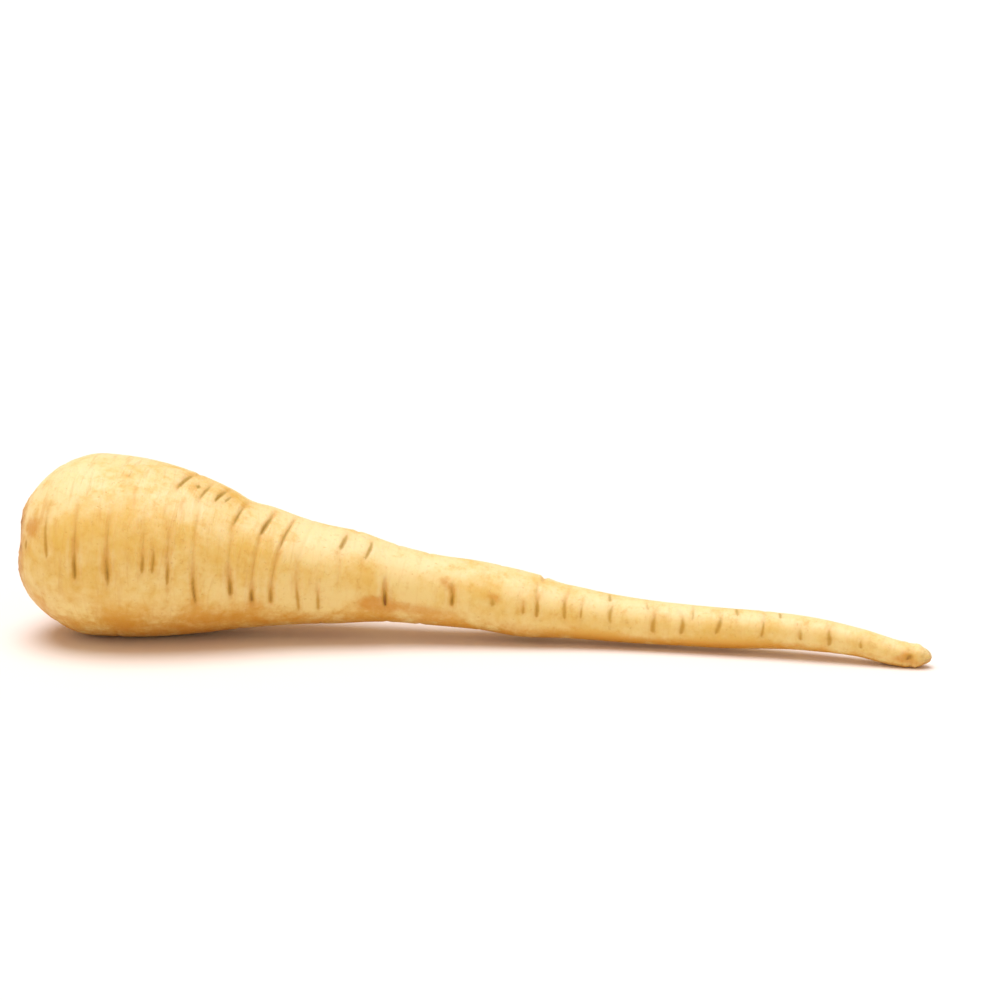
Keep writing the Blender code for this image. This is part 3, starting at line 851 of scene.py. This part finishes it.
def makePlate():
    plate = addPost("crownPlate", leafStubs["plateSides"], 1.0, 1.0)
    pickTop(plate)
    for _ in range(leafStubs["plateInsets"]):
        bpy.ops.mesh.inset(thickness=leafStubs["plateInset"], depth=0.0)
    bpy.ops.mesh.poke()
    setMode("OBJECT")
    unit = readPoints(plate.data) * mm
    reach = np.hypot(unit[:, 0], unit[:, 1])
    top = unit[:, 2] > 0
    bark = grain(unit * [3.2, 3.2, 1.0], 1.0, 9, 3) * leafStubs["plateBark"]
    radius = form["socketRadius"] - leafStubs["gap"]
    dome = leafStubs["plateDome"] * (1 - reach ** 2) + bark * (1 - reach ** 4)
    level = np.where(top, -plateTop + dome, -plateUnderside)
    upright = np.column_stack([unit[:, 0] * radius, unit[:, 1] * radius, level])
    writePoints(plate.data, laidDown(upright))
    keepStubValues(plate.data, np.zeros(len(unit)), np.where(top, 0.12, 0.0), 0.2, unit * 3.0)
    return plate


def makeLeafStubs():
    post = makePost()
    sheet = makeScale()
    draw = random.Random(leafStubs["seed"])
    fine = random.Random(leafStubs["fineSeed"])
    pieces = [makePlate()]
    tops = []
    for level, row in enumerate(leafStubs["rows"]):
        radius, count, _, height, lean = row
        for number in range(count):
            stray = draw.uniform(-leafStubs["turnSpread"], leafStubs["turnSpread"])
            turn = math.tau * (number + 0.5 * level + stray) / count
            item = copyOf(post, f"stub{level}{number}")
            shapeStub(item, row, turn, draw, fine)
            tops.append((radius + lean * shreds["place"], turn, height))
            pieces.append(item)
    for number in range(scales["count"]):
        stray = fine.uniform(-scales["turnSpread"], scales["turnSpread"])
        turn = math.tau * (number + stray) / scales["count"]
        kind = scales["outer"] if number % 2 == 0 else scales["inner"]
        length = fine.uniform(*scales["lengths"]) * kind["stretch"]
        width = fine.uniform(*scales["widths"])
        lean = fine.uniform(*kind["leans"])
        curl = fine.uniform(*scales["curls"])
        twist = fine.uniform(-scales["twist"], scales["twist"])
        item = copyOf(sheet, f"scale{number}")
        foot = -plateTop - scales["sunk"]
        shapeScale(item, kind["radius"], turn, length, width, lean, curl, foot, twist, fine)
        pieces.append(item)
    for number in range(shreds["count"]):
        radius, turn, height = tops[fine.randrange(len(tops))]
        turn += fine.uniform(-shreds["turnSpread"], shreds["turnSpread"])
        length = height * fine.uniform(*shreds["heights"])
        width = fine.uniform(*shreds["widths"])
        curl = fine.uniform(*shreds["curls"])
        twist = fine.uniform(-shreds["twist"], shreds["twist"])
        item = copyOf(sheet, f"shred{number}")
        foot = -plateTop - shreds["sunk"]
        shapeScale(item, radius, turn, length, width, shreds["lean"], curl, foot, twist, fine)
        pieces.append(item)
    bpy.data.objects.remove(post)
    bpy.data.objects.remove(sheet)
    pick(*pieces)
    bpy.ops.object.join()
    joined = bpy.context.object
    joined.name = "leafStubsFine"
    setMode("EDIT")
    bpy.ops.mesh.select_all(action="SELECT")
    bpy.ops.mesh.normals_make_consistent(inside=False)
    setMode("OBJECT")
    pick(joined)
    bpy.ops.object.shade_smooth_by_angle(angle=math.radians(leafStubs["smoothAngle"]))
    return joined


# A socket's output that can be added, subtracted and multiplied with numbers and other outputs
class Wire:
    def __init__(self, finish, socket):
        self.finish = finish
        self.socket = socket

    def __add__(self, other):
        return self.finish.math("ADD", self, other)

    def __sub__(self, other):
        return self.finish.math("SUBTRACT", self, other)

    def __rsub__(self, other):
        return self.finish.math("SUBTRACT", other, self)

    def __mul__(self, other):
        return self.finish.math("MULTIPLY", self, other)

    __radd__ = __add__
    __rmul__ = __mul__


class Finish:
    def __init__(self, name, style, first, constants):
        self.style = style
        self.colour = style[first]
        self.material = bpy.data.materials.new(name)
        self.material.use_nodes = True
        self.tree = self.material.node_tree
        self.shader = self.tree.nodes["Principled BSDF"]
        for key, value in constants.items():
            self.shader.inputs[key].default_value = value

    def plug(self, node, key, value):
        found = [socket for socket in node.inputs if socket.identifier == key]
        found = found or [socket for socket in node.inputs if socket.name == key]
        if isinstance(value, Wire):
            self.tree.links.new(value.socket, found[0])
        else:
            found[0].default_value = value

    def node(self, kind, settings, values, output=0):
        made = self.tree.nodes.new(kind)
        for key, value in settings.items():
            setattr(made, key, value)
        for key, value in values.items():
            self.plug(made, key, value)
        return Wire(self, made.outputs[output])

    def math(self, operation, first, second=0.0, clamp=False):
        settings = {"operation": operation, "use_clamp": clamp}
        return self.node("ShaderNodeMath", settings, {"Value": first, "Value_001": second})

    def limit(self, value):
        return self.math("ADD", value, 0.0, clamp=True)

    def stretch(self, value, low, high, out=(0.0, 1.0)):
        return self.node("ShaderNodeMapRange", {"interpolation_type": "SMOOTHSTEP"}, {
            "Value": value, "From Min": low, "From Max": high, "To Min": out[0], "To Max": out[1]})

    def mix(self, share, first, second):
        return self.node("ShaderNodeMix", {"data_type": "RGBA"}, {
            "Factor_Float": share, "A_Color": first, "B_Color": second}, "Result")

    # Lays a paint, by name or made from others, over the colour so far
    def lay(self, layer, value, paint, mask=None):
        low, high, most = self.style[layer]
        share = self.stretch(value, low, high) * most
        if mask is not None:
            share = share * mask
        self.colour = self.mix(share, self.colour, self.style.get(paint, paint))

    def attribute(self, name, output="Fac"):
        return self.node("ShaderNodeAttribute", {"attribute_name": name}, {}, output)

    def scaled(self, vector, scale):
        return self.node("ShaderNodeVectorMath", {"operation": "MULTIPLY"}, {
            "Vector": vector, "Vector_001": scale})

    def noise(self, name, vector):
        scale, detail, roughness, distortion = self.style[name]
        return self.node("ShaderNodeTexNoise", {}, {
            "Vector": vector, "Scale": scale, "Detail": detail, "Roughness": roughness,
            "Distortion": distortion})

    def complete(self, roughness, height):
        bump = self.node("ShaderNodeBump", {}, {
            "Strength": self.style["bump"], "Distance": self.style["bumpDistance"], "Height": height})
        self.plug(self.shader, "Base Color", self.colour)
        self.plug(self.shader, "Roughness", roughness)
        self.plug(self.shader, "Normal", bump)
        return self.material


# The skin: its colours, its noises by scale, detail, roughness and distortion, and its layers by where
# each starts, where it is full and how much of it is laid on
skinFinish = {
    "cream": (0.812, 0.65, 0.25, 1.0),
    "gold": (0.742, 0.50, 0.10, 1.0),
    "pale": (0.87, 0.755, 0.41, 1.0),
    "tan": (0.62, 0.32, 0.055, 1.0),
    "rust": (0.61, 0.27, 0.018, 1.0),
    "bark": (0.30, 0.15, 0.05, 1.0),
    "dry": (0.42, 0.30, 0.12, 1.0),
    "slitEdge": (0.54, 0.31, 0.035, 1.0),
    "topSlitEdge": (0.46, 0.32, 0.07, 1.0),
    "slit": (0.37, 0.21, 0.014, 1.0),
    "rustSlit": (0.27, 0.085, 0.004, 1.0),
    "cloudNoise": (42.0, 3.0, 0.55, 0.0),
    "patchNoise": (120.0, 4.0, 0.6, 0.0),
    "mottleNoise": (330.0, 4.0, 0.66, 0.0),
    "ringNoise": (560.0, 3.0, 0.62, 0.5),
    "threadNoise": (1300.0, 2.0, 0.6, 0.2),
    "speckNoise": (1000.0, 2.0, 0.6, 0.0),
    "ringSquash": (0.16, 0.16, 1.0),
    "threadSquash": (0.22, 0.22, 1.0),
    "goldLayer": (0.345, 0.655, 1.0),
    # the pale layer is a painted highlight on the top, partly paler skin
    "paleSkinAndTopHighlightLayer": (0.79, 0.39, 0.92),
    "ringLayer": (0.50, 0.76, 0.40),
    "mottleLayer": (0.54, 0.72, 0.22),
    "threadLayer": (0.58, 0.80, 0.16),
    "speckLayer": (0.64, 0.76, 0.32),
    # painted shade in the furrows and a painted highlight at their lips
    "furrowShadeLayer": (0.02, 0.30, 0.34),
    "lipHighlightLayer": (-0.006, -0.05, 0.20),
    # rust beneath is painted shade, partly the skin's own staining
    "rustAndUnderShadeLayer": (0.26, 0.60, 0.90),
    "stainLayer": (0.02, 0.95, 0.80),
    "crownLayer": (0.25, 0.95, 0.85),
    "barkLayer": (0.80, 1.25, 0.8),
    "dryLayer": (0.30, 0.60, 0.65),
    "edgeLayer": (0.08, 0.42, 0.85),
    "slitLayer": (0.38, 0.90, 1.0),
    "rustSlitLayer": (0.30, 0.80, 0.8),
    "haloShare": 0.72,
    "neckLines": 0.6,          # share of the fine rings that the neck and tail lose
    "scatter": 0.20,
    "scatterRadius": (0.0030, 0.0015, 0.0006),
    "gloss": 0.42,
    "roughness": (0.40, 0.62),
    "bump": 0.55,
    "bumpDistance": 0.0004,
}


def makeSkinFinish():
    style = skinFinish
    finish = Finish("parsnipSkin", style, "cream", {
        "Subsurface Weight": style["scatter"],
        "Subsurface Scale": 1.0,
        "Subsurface Radius": style["scatterRadius"],
        "Specular IOR Level": style["gloss"],
    })
    straight = finish.attribute("straight", "Vector")
    slit = finish.attribute("slit")
    crown = finish.attribute("crown")
    top = finish.attribute("top")
    stain = finish.attribute("stain")
    hollow = finish.attribute("hollow")
    placed = finish.attribute("patch")
    clouds = finish.noise("cloudNoise", straight)
    patch = finish.noise("patchNoise", straight)
    mottle = finish.noise("mottleNoise", straight)
    rings = finish.noise("ringNoise", finish.scaled(straight, style["ringSquash"]))
    threads = finish.noise("threadNoise", finish.scaled(straight, style["threadSquash"]))
    specks = finish.noise("speckNoise", straight)
    lined = 1 - finish.attribute("neck") * style["neckLines"]

    # Cream and gold skin, with a painted highlight on the top that also stands for paler skin there, and
    # fine rings, threads and specks
    tone = clouds * 0.55 + patch * 0.45 + mottle * 0.30 + placed * 0.17 - 0.15
    finish.lay("goldLayer", tone, "gold")
    finish.lay("paleSkinAndTopHighlightLayer", tone, "pale", top)
    finish.lay("ringLayer", rings, "tan", lined)
    finish.lay("mottleLayer", mottle, "tan")
    finish.lay("threadLayer", threads, "tan", lined)
    finish.lay("speckLayer", specks, "tan")

    # Painted shade in the hollow of a furrow and a painted highlight at its lips; rust beneath, painted
    # shade that also stands for staining there, and rust where the skin is stained
    finish.lay("furrowShadeLayer", hollow, "tan")
    finish.lay("lipHighlightLayer", hollow, "pale")
    finish.lay("rustAndUnderShadeLayer", patch * 0.6 + mottle * 0.4 + placed * 0.25, "rust", finish.attribute("under"))
    finish.lay("stainLayer", stain * (0.35 + mottle * 1.1) + (patch - 0.5) * 0.30, "rust")

    # Tan and bark-brown round the crown, and a dry end
    finish.lay("crownLayer", crown + (mottle - 0.5) * 0.9, "tan")
    finish.lay("barkLayer", crown + (mottle - 0.5) * 1.5, "bark")
    finish.lay("dryLayer", mottle, "dry", finish.attribute("tipEnd"))

    # The slits, from the tan halo beside them to their dark middle
    halo = finish.limit(finish.attribute("halo") * (mottle * 1.2 - 0.1)) * style["haloShare"]
    finish.colour = finish.mix(halo, finish.colour, style["tan"])
    ragged = slit * (0.58 + specks * 0.44 + threads * 0.40) + (mottle - 0.5) * 0.14
    finish.lay("edgeLayer", ragged, finish.mix(top, style["slitEdge"], style["topSlitEdge"]))
    finish.lay("slitLayer", ragged, "slit")
    finish.lay("rustSlitLayer", ragged, "rustSlit", stain)

    roughness = finish.stretch(mottle + slit * 0.3, 0.2, 0.9, style["roughness"])
    pits = finish.stretch(specks, 0.60, 0.78) * 0.5
    return finish.complete(roughness, (rings * 0.9 + threads * 0.3) * lined + mottle * 0.7 - pits)


# The dry stalks, given the same way
stubFinish = {
    "straw": (0.50, 0.33, 0.16, 1.0),
    "brown": (0.20, 0.105, 0.045, 1.0),
    "dark": (0.055, 0.028, 0.014, 1.0),
    "pith": (0.62, 0.46, 0.26, 1.0),
    "grey": (0.34, 0.28, 0.20, 1.0),
    "fibreNoise": (1.0, 3.0, 0.65, 0.0),
    "fibreSquash": (4.5, 4.5, 0.35),
    "blotchNoise": (1.1, 4.0, 0.6, 0.0),
    "strawLayer": (0.38, 0.62, 1.0),
    "greyLayer": (0.56, 0.72, 0.5),
    "footLayer": (0.55, 0.10, 0.85),
    "pithLayer": (0.35, 0.7, 0.75),
    "gloss": 0.25,
    "roughness": (0.62, 0.9),
    "bump": 0.7,
    "bumpDistance": 0.0002,
}


def makeStubFinish():
    style = stubFinish
    finish = Finish("dryLeafStubs", style, "brown", {"Specular IOR Level": style["gloss"]})
    growth = finish.attribute("growth", "Vector")
    fibres = finish.noise("fibreNoise", finish.scaled(growth, style["fibreSquash"]))
    blotches = finish.noise("blotchNoise", growth)
    finish.lay("strawLayer", fibres + finish.attribute("age") * 0.24 - 0.12, "straw")
    finish.lay("greyLayer", blotches, "grey")
    finish.lay("footLayer", finish.attribute("rise") + (blotches - 0.5) * 0.5, "dark")
    finish.lay("pithLayer", finish.attribute("pith") + (blotches - 0.5) * 0.6, "pith")
    roughness = finish.stretch(fibres, 0.3, 0.7, style["roughness"])
    return finish.complete(roughness, fibres + blotches * 0.4)


# The camera at the photo's angle, a pale floor with a low wall round it, and soft light
studio = {
    "lens": 110.0,
    "sensorWidth": 36.0,
    "cameraPlace": (0.1257, -0.8142, 0.2638),
    "cameraTurn": 8.2,
    "cameraFall": 15.0,
    "farthest": 50.0,
    "sunStrength": 2.50,
    "sunColour": (0.97, 0.99, 1.05),
    "sunAngle": 48.0,
    "sunFrom": (-0.12, 0.02, 1.0),
    "fillStrength": 0.18,
    "fillColour": (1.0, 1.0, 1.0),
    "fillAngle": 60.0,
    "fillFrom": (0.0, -1.0, 0.75),
    "sky": (1.0, 0.70, 0.50, 1.0),
    "skyStrength": 0.60,
    "floor": (0.90, 0.88, 0.87, 1.0),
    "floorRoughness": 0.9,
    "floorSize": 8.0,
    "wallHeight": 0.5,
}


def makeStudio():
    turn = (math.radians(90.0 - studio["cameraFall"]), 0.0, math.radians(studio["cameraTurn"]))
    bpy.ops.object.camera_add(location=studio["cameraPlace"], rotation=turn)
    camera = bpy.context.object
    camera.name = "photoCamera"
    camera.data.lens = studio["lens"]
    camera.data.sensor_width = studio["sensorWidth"]
    camera.data.clip_end = studio["farthest"]
    bpy.context.scene.camera = camera
    bpy.ops.mesh.primitive_plane_add(size=studio["floorSize"])
    floor = bpy.context.object
    floor.name = "floor"
    setMode("EDIT")
    bpy.ops.mesh.select_mode(type="EDGE")
    bpy.ops.mesh.select_all(action="SELECT")
    bpy.ops.mesh.extrude_edges_move(TRANSFORM_OT_translate={"value": (0.0, 0.0, studio["wallHeight"])})
    setMode("OBJECT")
    paper = bpy.data.materials.new("whitePaper")
    paper.use_nodes = True
    shader = paper.node_tree.nodes["Principled BSDF"]
    shader.inputs["Base Color"].default_value = studio["floor"]
    shader.inputs["Roughness"].default_value = studio["floorRoughness"]
    shader.inputs["Specular IOR Level"].default_value = 0.0
    floor.data.materials.append(paper)
    for name in ("sun", "fill"):
        turn = Vector(studio[name + "From"]).to_track_quat("Z", "Y").to_euler()
        bpy.ops.object.light_add(type="SUN", rotation=turn)
        light = bpy.context.object
        light.name = name + "Light"
        light.data.energy = studio[name + "Strength"]
        light.data.color = studio[name + "Colour"]
        light.data.angle = math.radians(studio[name + "Angle"])
    world = bpy.data.worlds.new("whiteRoom")
    world.use_nodes = True
    backdrop = world.node_tree.nodes["Background"]
    backdrop.inputs["Color"].default_value = studio["sky"]
    backdrop.inputs["Strength"].default_value = studio["skyStrength"]
    bpy.context.scene.world = world
    bpy.context.scene.view_settings.view_transform = "Standard"


makeStudio()
print("studio set")

skin = makeRootSkin()
skin.data.materials.append(makeSkinFinish())
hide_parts("root")
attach(skin, "root")
print("root skin made,", len(skin.data.polygons), "faces")

stubs = makeLeafStubs()
stubs.data.materials.clear()
stubs.data.materials.append(makeStubFinish())
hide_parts("leaf_stubs")
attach(stubs, "root")
print("leaf stubs made,", len(stubs.data.polygons), "faces")
